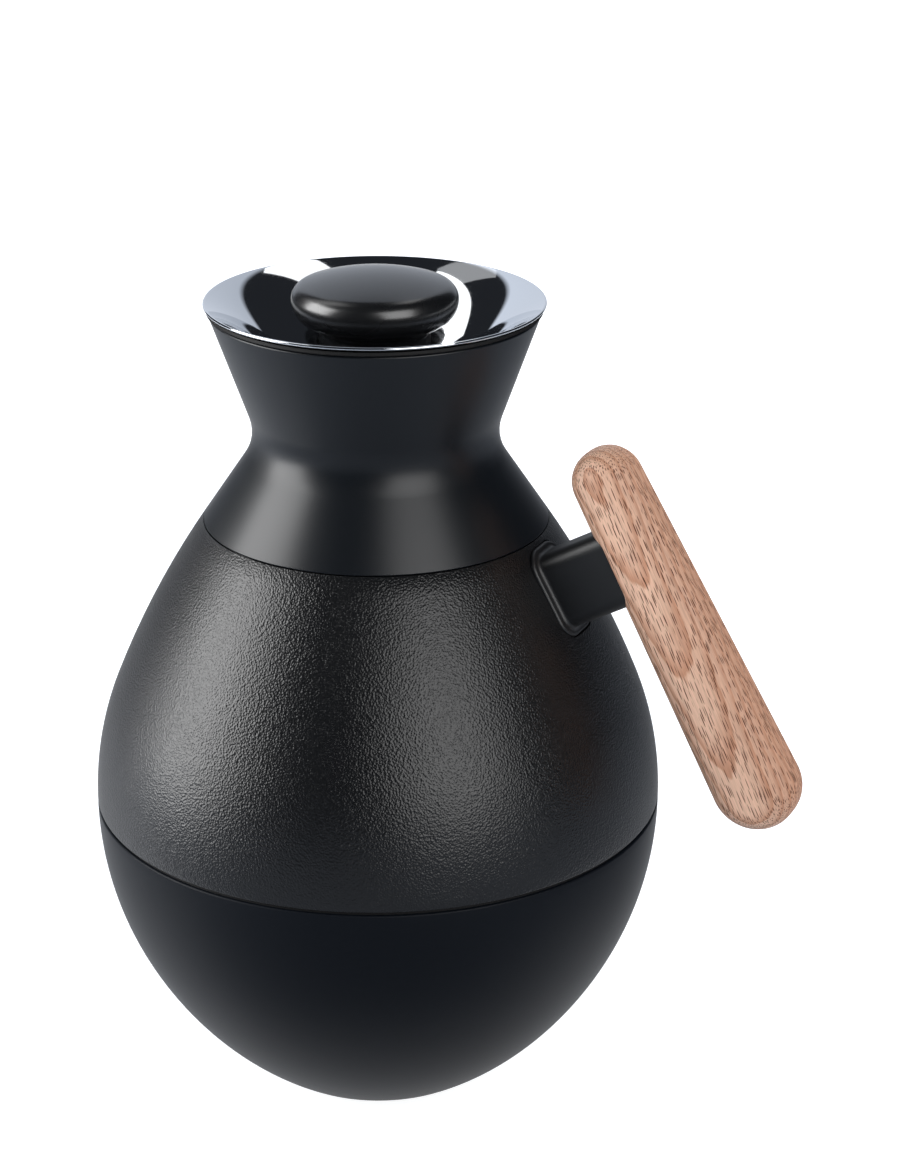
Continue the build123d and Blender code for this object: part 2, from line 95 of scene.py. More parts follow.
class Body(Enum):
    """Bodies that a piece can ride on."""

    JUG = "jug"
    STOPPER = "stopper"
    PUSH_KNOB = "push_knob"


class Slot(Enum):
    """Material slots of the record."""

    SATIN_BLACK = "satin_black"
    GRAINED_BLACK = "grained_black"
    KNOB_BLACK = "knob_black"
    POLISHED_STEEL = "polished_steel"
    FLASK_STEEL = "flask_steel"
    ZINC_STEEL = "zinc_steel"
    BRASS = "brass"
    BEECH = "beech"
    SILICONE = "silicone"
    INNER_PLASTIC = "inner_plastic"


def linear(code: str) -> tuple[float, float, float, float]:
    """Turns an sRGB hex colour into linear light.

    Args:
        code: Six hex digits.

    Returns:
        Red, green, blue and an alpha of 1.
    """
    channels = [int(code[place:place + 2], 16) / 255 for place in (0, 2, 4)]
    red, green, blue = [c / 12.92 if c <= 0.04045 else ((c + 0.055) / 1.055) ** 2.4 for c in channels]
    return (red, green, blue, 1.0)


def set_inputs(node: Node, sockets: dict) -> None:
    """Sets or links inputs of a node.

    Args:
        node: The node.
        sockets: Input name or number to a value, an output that feeds it, or a node whose first output does.
    """
    for name, value in sockets.items():
        source = value.outputs[0] if isinstance(value, Node) else value
        if isinstance(source, NodeSocket):
            node.id_data.links.new(source, node.inputs[name])
        else:
            node.inputs[name].default_value = source


def add_node(tree: NodeTree, kind: str, sockets: dict | None = None, **settings: object) -> Node:
    """Adds a node with its settings and inputs.

    Args:
        tree: Node tree that takes the node.
        kind: Blender's name of the node's type, without its ShaderNode.
        sockets: Inputs, as set_inputs takes them.
        settings: Properties of the node.

    Returns:
        The new node.
    """
    node = tree.nodes.new("ShaderNode" + kind)
    for name, value in settings.items():
        setattr(node, name, value)
    set_inputs(node, sockets or {})
    return node


def new_material(name: str) -> tuple[Material, Node, AddNode]:
    """Starts a material.

    Args:
        name: Name of the material.

    Returns:
        The material, its Principled node and the call that adds a node to it.
    """
    made = bpy.data.materials.new(name)
    made.use_nodes = True
    tree = made.node_tree
    return made, tree.nodes["Principled BSDF"], partial(add_node, tree)


def span(way: str, limits: Pair) -> dict[str, float]:
    """Gives the inputs for both ends of a span, where way is From or To."""
    return {way + " Min": limits[0], way + " Max": limits[1]}


def unit(angle: float) -> Vector:
    """Gives the direction at an angle above the radial direction."""
    return Vector((cos(radians(angle)), sin(radians(angle))))


class Outline:
    """A line drawn in radius and height, with straight runs, tangent arcs and softened corners."""

    def __init__(self, start: Point | Vector, heading: float = 0.0) -> None:
        """Starts the line.

        Args:
            start: First point.
            heading: Direction of a first arc, above the radial direction.
        """
        self.corners: list[tuple[Vector, float]] = [(Vector(start), 0.0)]
        self.heading = heading

    def to(self, point: Point | Vector, soft: float = 0.0) -> None:
        """Draws a straight run.

        Args:
            point: End of the run.
            soft: Radius that rounds the corner there.
        """
        step = Vector(point) - self.corners[-1][0]
        self.heading = degrees(atan2(step.y, step.x))
        self.corners.append((Vector(point), soft))

    def bend(self, radius: float, turn: float, stride: float = ARC_STRIDE) -> None:
        """Draws an arc that leaves along the heading.

        Args:
            radius: Radius of the arc.
            turn: Angle that it turns by, positive to the left.
            stride: Most degrees from one point to the next.
        """
        start = self.corners[-1][0]
        side = 1.0 if turn > 0 else -1.0
        centre = start + radius * unit(self.heading + 90 * side)
        count = max(2, round(abs(turn) / stride))
        for number in range(1, count + 1):
            spoke = self.heading - 90 * side + turn * number / count
            self.corners.append((centre + radius * unit(spoke), 0.0))
        self.heading += turn

    def end(self) -> Vector:
        """Gives the last point."""
        return self.corners[-1][0]

    def points(self) -> list[Vector]:
        """Gives the line's points, with each soft corner as an arc.

        Returns:
            Points in order.
        """
        line: list[Vector] = []
        count = len(self.corners)
        for number, (corner, soft) in enumerate(self.corners):
            if soft == 0:
                line.append(corner)
                continue
            before = (self.corners[number - 1][0] - corner).normalized()
            after = (self.corners[(number + 1) % count][0] - corner).normalized()
            half = before.angle(after) / 2
            centre = corner + (before + after).normalized() * soft / sin(half)
            start = corner + before * soft / tan(half) - centre
            turn = (pi - 2 * half) * (1 if before.cross(after) < 0 else -1)
            steps = max(3, round(degrees(abs(turn)) / SOFT_STRIDE))
            for step in range(steps + 1):
                line.append(centre + Matrix.Rotation(turn * step / steps, 2) @ start)
        return line


def join_rings(mesh: BMesh, rings: list[list[BMVert]], capped: bool = True) -> None:
    """Skins a row of rings.

    Args:
        mesh: Mesh that holds the rings and takes the faces.
        rings: Rings of as many vertices each, where one vertex repeated makes a point.
        capped: Whether both ends are closed by faces; if not, the last ring is joined to the first.
    """
    following_rings = rings[1:] if capped else rings[1:] + rings[:1]
    for ring, following in zip(rings, following_rings):
        for step, start in enumerate(ring):
            ahead = (step + 1) % len(ring)
            corners = list(dict.fromkeys((start, ring[ahead], following[ahead], following[step])))
            if len(corners) > 2:
                mesh.faces.new(corners)
    if capped:
        mesh.faces.new(rings[0])
        mesh.faces.new(rings[-1])


def mesh_piece(name: str, mesh: BMesh) -> Object:
    """Makes an object of a mesh in millimetres, smooth apart from its creases.

    Args:
        name: Name of the piece.
        mesh: Its vertices and faces, which are freed.

    Returns:
        The new object.
    """
    bmesh.ops.scale(mesh, vec=(MM, MM, MM), verts=mesh.verts)
    bmesh.ops.recalc_face_normals(mesh, faces=mesh.faces)
    data = bpy.data.meshes.new(name)
    mesh.to_mesh(data)
    mesh.free()
    piece = bpy.data.objects.new(name, data)
    bpy.context.scene.collection.objects.link(piece)
    data.shade_smooth()
    data.set_sharp_from_angle(angle=CREASE)
    return piece


def turn_piece(name: str, outline: list[Vector], segments: int) -> Object:
    """Turns a closed outline about the jug's axis.

    Args:
        name: Name of the piece.
        outline: Points of radius and height, in order round the wall's section.
        segments: Number of steps round the axis.

    Returns:
        The new object.
    """
    mesh = bmesh.new()
    angles = [2 * pi * step / segments for step in range(segments)]
    rings = []
    for point in outline:
        if point.x == 0:
            rings.append([mesh.verts.new((0, 0, point.y))] * segments)
        else:
            rings.append([mesh.verts.new((point.x * cos(a), point.x * sin(a), point.y)) for a in angles])
    join_rings(mesh, rings, capped=False)
    return mesh_piece(name, mesh)


def carve(piece: Object, cutter: Object) -> None:
    """Cuts a solid out of a piece and removes the solid.

    Args:
        piece: Piece to cut.
        cutter: Solid that is taken away.
    """
    cut = piece.modifiers.new("pocket", "BOOLEAN")
    cut.operation = "DIFFERENCE"
    cut.solver = "EXACT"
    cut.object = cutter
    scene_state = bpy.context.evaluated_depsgraph_get()
    carved = bpy.data.meshes.new_from_object(piece.evaluated_get(scene_state))
    piece.modifiers.clear()
    old = piece.data
    piece.data = carved
    bpy.data.meshes.remove(old)
    bpy.data.objects.remove(cutter)
    carved.shade_smooth()
    carved.set_sharp_from_angle(angle=CREASE)


@dataclass(frozen=True)
class MouldedPlastic:
    """Black thermoplastic from a steel mould, whose skin copies the mould's own texture.

    Attributes:
        grain: Width of one pebble of the moulded grain.
        height: Height of the pebbles.
        graze: Roughness seen along the surface, where the mould's texture hides its own gloss.
        unevenness: How far the roughness drifts over the piece.
        ripples: Ripples across one pebble.
        ripple_height: Their height, as a share of the pebbles'.
        drifts: Drifts of the roughness in a metre.
        graze_span: Turn away from the eye over which the gloss is hidden, as shares of a quarter turn.
    """

    name: str
    colour: str
    roughness: float
    specular: float
    grain: float
    height: float
    graze: float
    unevenness: float = 0.04
    roundness: float = 0.6
    ripples: float = 1.6
    ripple_height: float = 0.35
    drifts: float = 14.0
    graze_span: Pair = (0.35, 0.8)

    def material(self) -> Material:
        """Builds the material.

        Returns:
            The material.
        """
        made, skin, add = new_material(self.name)
        spot = add("TexCoord").outputs["Object"]
        pebbles = 1 / (self.grain * MM)
        cells = add("TexVoronoi", {"Vector": spot, "Scale": pebbles, "Smoothness": self.roundness},
                    feature="SMOOTH_F1")
        ripple = add("TexNoise", {"Vector": spot, "Scale": self.ripples * pebbles, "Detail": 2.0})
        relief = add("Math", {0: ripple, 1: -self.ripple_height, 2: cells}, operation="MULTIPLY_ADD")
        bump = add("Bump", {"Height": relief, "Strength": 1.0, "Distance": self.height * MM})
        drift = add("TexNoise", {"Vector": spot, "Scale": self.drifts, "Detail": 4.0})
        roughness = (self.roughness - self.unevenness, self.roughness + self.unevenness)
        gloss = add("MapRange", {"Value": drift, **NOISE_SPAN, **span("To", roughness)})
        facing = add("LayerWeight", {"Blend": 0.5}).outputs["Facing"]
        dulled = add("MapRange", {"Value": facing, **span("From", self.graze_span), "To Min": gloss,
                                  "To Max": self.graze})
        set_inputs(skin, {"Base Color": linear(self.colour), "Specular IOR Level": self.specular,
                          "Roughness": dulled, "Normal": bump})
        return made


@dataclass(frozen=True)
class BareMetal:
    """Metal with its own colour, whose tool marks run round the jug's axis.

    Attributes:
        marks: Spacing of the marks, drawn coarser than real ones so that they show.
        run: Length of a mark.
        spread: Least and greatest roughness, as shares of the roughness.
    """

    name: str
    colour: str
    roughness: float
    marks: float
    depth: float
    run: float = 50.0
    spread: Pair = (0.75, 1.3)

    def material(self) -> Material:
        """Builds the material.

        Returns:
            The material.
        """
        made, skin, add = new_material(self.name)
        spot = add("TexCoord").outputs["Object"]
        lengths = (self.run, self.run, self.marks)
        along = add("Mapping", {"Vector": spot, "Scale": [1 / (length * MM) for length in lengths]})
        lines = add("TexNoise", {"Vector": along, "Scale": 1.0, "Detail": 4.0})
        roughness = (self.spread[0] * self.roughness, self.spread[1] * self.roughness)
        gloss = add("MapRange", {"Value": lines, **NOISE_SPAN, **span("To", roughness)})
        bump = add("Bump", {"Height": lines, "Strength": 0.4, "Distance": self.depth * MM})
        set_inputs(skin, {"Base Color": linear(self.colour), "Metallic": 1.0, "Roughness": gloss,
                          "Normal": bump})
        return made


@dataclass(frozen=True)
class OiledBeech:
    """Steamed beech, planed along the grain and oiled.

    Pinkish tan. The growth rings are cut at a slant, so they end in points along the bar, and many short
    dark pores run with the grain. A deeper brown over the bar's outer half is painted shade.

    Attributes:
        early_wood: Shares of a ring between which the pale early wood lies.
        late_wood: Share at which the deep late wood is full.
        depth: Distance from the bar's front to the middle of the rings.
        sway: Bends of the rings in a millimetre, across and along the bar.
        painted_shade_reach: Distance out from the bar's middle to the full painted shade of its outer side.
        grain_turn: Angle between the grain and the bar.
        fibres: Fibres in a millimetre, across and along the grain.
        pore_pitch: Pitch of the pores, across and along the grain.
        pore_turn: Turn of their lattice, in radians, so that no face of the bar shows them in rows.
        pore_scatter: How far they leave their lattice, as a share of the pitch.
        pore_edge: Where a pore's edge starts and ends, as shares of the pitch.
        relief: Depth of the pores and fibres.
    """

    pale: str = "E4BCA3"
    deep: str = "C49175"
    # Painted shade: the deeper brown laid over the bar's outer half, for the shade on that side
    painted_shade: str = "A87558"
    pore: str = "542812"
    ring: float = 2.2
    early_wood: Pair = (0.07, 0.5)
    late_wood: float = 0.96
    slant: float = 0.085
    depth: float = 17.0
    sway: Pair = (0.16, 0.05)
    sway_reach: float = 2.4
    # Reach and strength of that painted shade
    painted_shade_reach: float = 11.0
    painted_shade_share: float = 0.6
    grain_turn: float = 4.0
    fibres: Pair = (2.8, 0.07)
    fibre_shade: Pair = (0.8, 1.1)
    pore_pitch: Pair = (0.45, 5.8)
    pore_turn: tuple[float, float, float] = (0.61, 0.52, 0.43)
    pore_scatter: float = 0.65
    pore_edge: Pair = (0.3, 0.39)
    pore_strength: Pair = (0.6, 1.0)
    roughness: Pair = (0.48, 0.64)
    specular: float = 0.3
    relief: float = 0.05

    def rings_and_painted_shade(self, add: AddNode, bar: Node) -> NodeSocket:
        """Colours the growth rings, and paints shade over the bar's outer half.

        Args:
            add: Call that adds a node.
            bar: Node that gives the place on the bar, in millimetres.

        Returns:
            The output with the colour.
        """
        axes = add("SeparateXYZ", {"Vector": bar})
        across = add("Math", {0: axes.outputs["X"], 1: HANDLE_STANDOFF}, operation="SUBTRACT")
        drop = add("Math", {0: axes.outputs["Z"], 1: -self.slant, 2: self.depth}, operation="MULTIPLY_ADD")
        behind = add("Math", {0: drop, 1: axes.outputs["Y"]}, operation="ADD")
        spoke = add("CombineXYZ", {"X": across, "Y": behind})
        radius = add("VectorMath", {0: spoke}, operation="LENGTH").outputs["Value"]
        bends = add("Mapping", {"Vector": bar, "Scale": (self.sway[0], *self.sway)})
        wander = add("TexNoise", {"Vector": bends, "Scale": 1.0, "Detail": 3.0})
        bent = add("Math", {0: wander, 1: self.sway_reach, 2: radius}, operation="MULTIPLY_ADD")
        count = add("Math", {0: bent, 1: self.ring}, operation="DIVIDE")
        phase = add("Math", {0: count}, operation="FRACT")
        rings = add("ValToRGB", {"Fac": phase})
        ramp = rings.color_ramp.elements
        for share in self.early_wood:
            ramp.new(share).color = linear(self.pale)
        ramp[-1].position = self.late_wood
        for end in (0, -1):
            ramp[end].color = linear(self.deep)
        # Painted shade: darker towards the bar's outer edge, standing in for the shade on that side
        outer = add("MapRange", {"Value": across, "From Max": self.painted_shade_reach, "To Max": self.painted_shade_share})
        wood = add("Mix", {"Factor": outer, MIX_A: rings, MIX_B: linear(self.painted_shade)}, data_type="RGBA")
        return wood.outputs[MIXED]

    def pore_mask(self, add: AddNode, grain: Node) -> Node:
        """Scatters the pores.

        Args:
            add: Call that adds a node.
            grain: Node that gives the place along the grain, in millimetres.

        Returns:
            The node that gives 1 in a strong pore and 0 beside it.
        """
        across, along = self.pore_pitch
        lattice = add("Mapping", {"Vector": grain, "Scale": (1 / across, 1 / across, 1 / along),
                                  "Rotation": self.pore_turn})
        cells = add("TexVoronoi", {"Vector": lattice, "Scale": 1.0, "Randomness": self.pore_scatter})
        shape = add("MapRange", {"Value": cells, **span("From", self.pore_edge), **FADE_OUT})
        chance = add("SeparateColor", {"Color": cells.outputs["Color"]})
        strength = add("MapRange", {"Value": chance, **span("To", self.pore_strength)})
        return add("Math", {0: shape, 1: strength}, operation="MULTIPLY")

    def material(self) -> Material:
        """Builds the material.

        Returns:
            The material.
        """
        made, skin, add = new_material("beech_planed_and_oiled")
        spot = add("TexCoord").outputs["Object"]
        root = (HANDLE_ROOT[0] * MM, 0, HANDLE_ROOT[1] * MM)
        from_root = add("VectorMath", {0: spot, 1: root}, operation="SUBTRACT")
        turned = add("VectorRotate", {"Vector": from_root, "Angle": radians(HANDLE_TILT)},
                     rotation_type="Y_AXIS")
        bar = add("VectorMath", {0: turned, "Scale": 1 / MM}, operation="SCALE")
        grain = add("VectorRotate", {"Vector": bar, "Angle": -radians(self.grain_turn)},
                    rotation_type="Y_AXIS")
        threads = add("Mapping", {"Vector": grain, "Scale": (self.fibres[0], *self.fibres)})
        fibre = add("TexNoise", {"Vector": threads, "Scale": 1.0, "Detail": 3.0})
        shade = add("MapRange", {"Value": fibre, **NOISE_SPAN, **span("To", self.fibre_shade)})
        shaded = add("Mix", {"Factor": 1.0, MIX_A: self.rings_and_painted_shade(add, bar), MIX_B: shade},
                     data_type="RGBA", blend_type="MULTIPLY")
        pores = self.pore_mask(add, grain)
        stained = add("Mix", {"Factor": pores, MIX_A: shaded.outputs[MIXED], MIX_B: linear(self.pore)},
                      data_type="RGBA")
        gloss = add("MapRange", {"Value": fibre, **span("To", self.roughness)})
        sunk = add("Math", {0: fibre, 1: pores}, operation="SUBTRACT")
        bump = add("Bump", {"Height": sunk, "Strength": 0.5, "Distance": self.relief * MM})
        set_inputs(skin, {"Base Color": stained.outputs[MIXED], "Specular IOR Level": self.specular,
                          "Roughness": gloss, "Normal": bump})
        return made


FINISHES = {
    # Polypropylene from a polished mould: an even satin skin, so lights spread softly along the curves
    Slot.SATIN_BLACK: MouldedPlastic(
        "polypropylene_satin_moulded", "080C11",
        roughness=0.34, specular=0.36, grain=0.5, height=0.003, graze=0.48),
    # Polypropylene from an etched mould: small pebbles that break each light into fine sparkle
    Slot.GRAINED_BLACK: MouldedPlastic(
        "polypropylene_grain_moulded", "0B0C0E",
        roughness=0.29, specular=0.41, grain=0.56, height=0.13, graze=0.52),
    # ABS from a polished mould: slightly glossier, with clear soft windows of light
    Slot.KNOB_BLACK: MouldedPlastic(
        "abs_satin_moulded", "0C0D0F",
        roughness=0.26, specular=0.75, grain=0.5, height=0.002, graze=0.26),
    # Stainless steel, mirror polished: a clean image of its surroundings, a little darker than chrome
    Slot.POLISHED_STEEL: BareMetal(
        "stainless_steel_mirror_polished", "D5D8DC", roughness=0.045, marks=0.6, depth=0.0006),
    # Stainless steel, drawn: a soft sheen with faint rings from the drawing die
    Slot.FLASK_STEEL: BareMetal(
        "stainless_steel_drawn", "B9BABB", roughness=0.28, marks=0.5, depth=0.004),
    # Steel, zinc plated: cool and slightly cloudy
    Slot.ZINC_STEEL: BareMetal(
        "steel_zinc_plated", "B4B8BE", roughness=0.36, marks=0.4, depth=0.005),
    # Brass, turned: warm, with fine rings from the tool
    Slot.BRASS: BareMetal(
        "brass_turned", "D3AE63", roughness=0.3, marks=0.3, depth=0.006),
    Slot.BEECH: OiledBeech(),
    # Silicone rubber from a blasted mould: dull black that drinks light
    Slot.SILICONE: MouldedPlastic(
        "silicone_blasted_moulded", "0C0C0D",
        roughness=0.68, specular=0.25, grain=0.4, height=0.01, graze=0.85),
    # Polypropylene from a plain mould: dull and even, as parts inside a product are
    Slot.INNER_PLASTIC: MouldedPlastic(
        "polypropylene_plain_moulded", "1D1E20",
        roughness=0.5, specular=0.4, grain=0.6, height=0.008, graze=0.6),
}
# Solids of the satin slot that depart from the collar's finish
OWN_FINISHES = {
    # Polypropylene from a blasted mould: matt, so the base stays dark and only its sides catch the light
    "base_bowl": MouldedPlastic(
        "polypropylene_matt_moulded", "090D13",
        roughness=0.5, specular=0.11, grain=0.4, height=0.004, graze=0.5),
    # Polypropylene from a finely etched mould: a dull front, with its rounded edges drawn by the light
    "handle_boss": MouldedPlastic(
        "polypropylene_fine_moulded", "0C0D0F",
        roughness=0.42, specular=0.5, grain=0.45, height=0.005, graze=0.6),
}


class Wardrobe:
    """Every finish as a material, and the solids and pieces that wear them."""

    def __init__(self) -> None:
        """Builds the materials and reads the slot of each solid."""
        self.materials = {slot: finish.material() for slot, finish in FINISHES.items()}
        self.own = {node: finish.material() for node, finish in OWN_FINISHES.items()}
        self.slots = {part["node"]: Slot(part["material_slot"]) for part in frame["record"]["subparts"]}

    def finish(self, node: str) -> Material:
        """Gives the material of a solid: its own, or that of its slot."""
        return self.own.get(node, self.materials[self.slots[node]])

    def dress_solids(self) -> None:
        """Gives each solid of the frame its material."""
        for node in self.slots:
            solid = frame["nodes"][node]
            if not solid.material_slots:
                solid.data.materials.append(self.finish(node))
            for held in solid.material_slots:
                held.material = self.finish(node)
            log.info("%s wears %s", node, self.finish(node).name)

    def dress(self, piece: Object, body: Body, node: str) -> None:
        """Dresses a piece and sets it on its body in place of a solid.

        Args:
            piece: The piece.
            body: Body that it rides on.
            node: Solid that it stands for, and whose finish it takes.
        """
        piece.data.materials.clear()
        piece.data.materials.append(self.finish(node))
        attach(piece, body.value)
        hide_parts(node)
        log.info("%s stands for %s on %s", piece.name, node, body.value)


@dataclass
class Casing:
    """Base bowl, body shell and collar: the black outside of the jug.

    Attributes:
        bowl_arcs: Radius and turn of the bowl's two arcs, from the seam down.
        shell_arcs: The same for the shell, from the seam up.
        seat: Point under the funnel's lip seal, in radius and height.
        shelf: Inner radius, bottom and top of the shelf that the funnel's nut pulls on.
        collar_spigot: Length and wall of the spigot that holds the collar in the shell.
    """

    radius: float = 80.0
    seam_height: float = 85.4
    seam_gap: float = 0.9
    bowl_arcs: tuple[Pair, Pair] = ((96.1, 24.5), (105.6, 31.5))
    shell_arcs: tuple[Pair, Pair] = ((88.9, 21.8), (254.9, 12.4))
    wall: float = WALL
    edge: float = 0.5
    floor: float = 1.0
    floor_inside: float = 3.8
    foot_round: float = 0.8
    pad_radius: float = 30.0
    pad_depth: float = 1.3
    pad_edge: float = 0.3
    rib_wall: float = 2.0
    rib_top: float = 6.5
    spigot_radius: float = 76.5
    spigot_wall: float = 2.2
    thread_height: float = 9.0
    collar_gap: float = 0.3
    collar_edge: float = 0.25
    collar_wall: float = 2.4
    waist: Point = (32.2, 190.6)
    waist_round: float = 14.5
    waist_round_inside: float = 10.0
    collar_top: Point = (45.4, 227.4)
    rim_round: float = 0.4
    seat: Point = (46.87, 227.47)
    seat_slope: float = LIP_SLOPE
    shelf: tuple[float, float, float] = (20.1, 179.0, 181.5)
    collar_spigot: Pair = (8.0, 2.2)
    slip: float = SLIP
    segments: int = 256

    def bowl(self) -> Object:
        """Turns the base bowl: smooth outside, with a recess for the foot pad.

        Returns:
            The piece.
        """
        (high, high_turn), (low, low_turn) = self.bowl_arcs
        top = self.seam_height - self.seam_gap / 2
        trim = degrees(asin(self.edge / high))
        line = Outline((self.radius - self.wall, top))
        line.to((self.radius - self.edge, top))
        line.bend(self.edge, -90 - trim, EDGE_STRIDE)
        line.bend(high, trim - high_turn)
        line.bend(low, -low_turn)
        # The foot's flat starts a wall's width inside the end of the arcs, as on the solid
        line.to((line.end().x - self.wall, self.floor), self.foot_round)
        pad = self.pad_radius
        rib = pad + self.rib_wall
        recess = self.floor + self.pad_depth
        line.to((pad, self.floor), self.pad_edge)
        line.to((pad, recess))
        line.to((0, recess))
        line.to((0, self.floor_inside))
        line.to((pad, self.floor_inside))
        line.to((pad, self.rib_top))
        line.to((rib, self.rib_top))
        line.to((rib, self.floor_inside))
        inside = Outline((self.radius - self.wall, top), -90)
        inside.bend(high - self.wall, -high_turn)
        inside.bend(low - self.wall, -low_turn)
        line.to((inside.end().x - self.wall, self.floor_inside))
        return turn_piece("base_bowl_skin", line.points() + inside.points()[:0:-1], self.segments)

    def shell(self) -> Object:
        """Turns the body shell, with the male half of the base's thread below.

        Returns:
            The piece.
        """
        (low, low_turn), (high, high_turn) = self.shell_arcs
        bottom = self.seam_height + self.seam_gap / 2
        spigot_bottom = self.seam_height - self.thread_height
        step = self.seam_height + self.thread_height
        trim = degrees(asin(self.edge / low))
        line = Outline((self.spigot_radius, bottom))
        line.to((self.radius - self.edge, bottom))
        line.bend(self.edge, 90 + trim, EDGE_STRIDE)
        line.bend(low, low_turn - trim)
        line.bend(high, high_turn)
        outer = line.points()
        inside = Outline((self.radius - self.wall, bottom), 90)
        inside.bend(low - self.wall, low_turn)
        inside.bend(high - self.wall, high_turn)
        top = outer[-1]
        rise = (top - outer[-2]).normalized() * self.collar_edge
        inwards = (inside.end() - top).normalized() * self.collar_edge
        rounded = [top - rise, top + ARC_DEPTH * (inwards - rise), top + inwards]
        inner = [point for point in inside.points()[::-1] if point.y > step]
        bore = self.spigot_radius - self.spigot_wall
        foot = [(bore, step), (bore, spigot_bottom), (self.spigot_radius, spigot_bottom)]
        section = outer[:-1] + rounded + inner + [Vector(point) for point in foot]
        return turn_piece("body_shell_skin", section, self.segments)

    def collar(self) -> Object:
        """Turns the collar: a waisted wall, with a spigot in the shell and a shelf for the funnel's nut.

        Returns:
            The piece.
        """
        shell = Outline((self.radius, self.seam_height + self.seam_gap / 2), 90)
        for radius, turn in self.shell_arcs:
            shell.bend(radius, turn)
        lean = shell.heading - 90
        foot = shell.end() + self.collar_gap * unit(shell.heading)
        waist = Vector(self.waist)
        flare = Vector(self.collar_top) - waist
        slope = tan(radians(self.seat_slope))
        seat_over_waist = self.seat[1] + slope * (waist.x - self.seat[0])
        rim = waist + (seat_over_waist - waist.y) / (flare.y - slope * flare.x) * flare
        wall_in = self.collar_wall / cos(atan2(flare.x, flare.y))
        spigot_length, spigot_wall = self.collar_spigot
        spigot = foot + (self.wall + self.slip) * unit(180 + lean)
        spigot_end = spigot - spigot_length * unit(90 + lean)
        shelf_reach, shelf_bottom, shelf_top = self.shelf
        waist_inside = waist.x - wall_in
        cone = tan(radians(90 - lean))
        line = Outline(spigot)
        line.to(foot, self.collar_edge)
        line.to(waist, self.waist_round)
        line.to(rim, self.rim_round)
        line.to(rim - Vector((wall_in, wall_in * slope)))
        line.to((waist_inside, waist.y), self.waist_round_inside)
        line.to((waist_inside + (waist.y - shelf_top) / cone, shelf_top))
        line.to((shelf_reach, shelf_top))
        line.to((shelf_reach, shelf_bottom))
        line.to((waist_inside + (waist.y - shelf_bottom) / cone, shelf_bottom))
        line.to(spigot_end + spigot_wall * unit(180 + lean))
        line.to(spigot_end)
        return turn_piece("neck_collar_skin", line.points(), self.segments)

    def build(self, wardrobe: Wardrobe, mount: "BarHandle") -> None:
        """Builds and dresses the casing.

        Args:
            wardrobe: The finishes.
            mount: Handle whose boss sits in the shell.
        """
        wardrobe.dress(self.bowl(), Body.JUG, "base_bowl")
        shell = self.shell()
        carve(shell, mount.pocket())
        carve(shell, mount.passage())
        wardrobe.dress(shell, Body.JUG, "body_shell")
        collar = self.collar()
        carve(collar, mount.plate_room())
        wardrobe.dress(collar, Body.JUG, "neck_collar")


@dataclass
class Funnel:
    """Drawn steel funnel, with a flared lip that pours all round."""

    lip: Point = (46.0, 229.1)
    lip_slope: float = LIP_SLOPE
    throat_radius: float = 19.0
    throat_bottom: float = 173.0
    throat_edge: float = 0.2
    sheet: float = 0.8
    edge: float = 0.38
    stride: float = 0.8
    segments: int = 256

    def build(self, wardrobe: Wardrobe) -> None:
        """Builds and dresses the funnel.

        Args:
            wardrobe: The finishes.
        """
        arc = (self.lip[0] - self.throat_radius) / (1 - sin(radians(self.lip_slope)))
        turn = 90 - self.lip_slope
        upper = Outline(self.lip, 180 + self.lip_slope)
        upper.bend(arc, turn, self.stride)
        upper.to((self.throat_radius, self.throat_bottom), self.throat_edge)
        upper.to((self.throat_radius + self.sheet, self.throat_bottom), self.throat_edge)
        lower = Outline(Vector(self.lip) + self.sheet * unit(self.lip_slope - 90), 180 + self.lip_slope)
        lower.bend(arc - self.sheet, turn, self.stride)
        line = Outline(self.lip)
        line.corners = upper.corners + lower.corners[::-1]
        for lip_corner in (0, -1):
            line.corners[lip_corner] = (line.corners[lip_corner][0], self.edge)
        funnel = turn_piece("pouring_funnel_skin", line.points(), self.segments)
        wardrobe.dress(funnel, Body.JUG, "pouring_funnel")


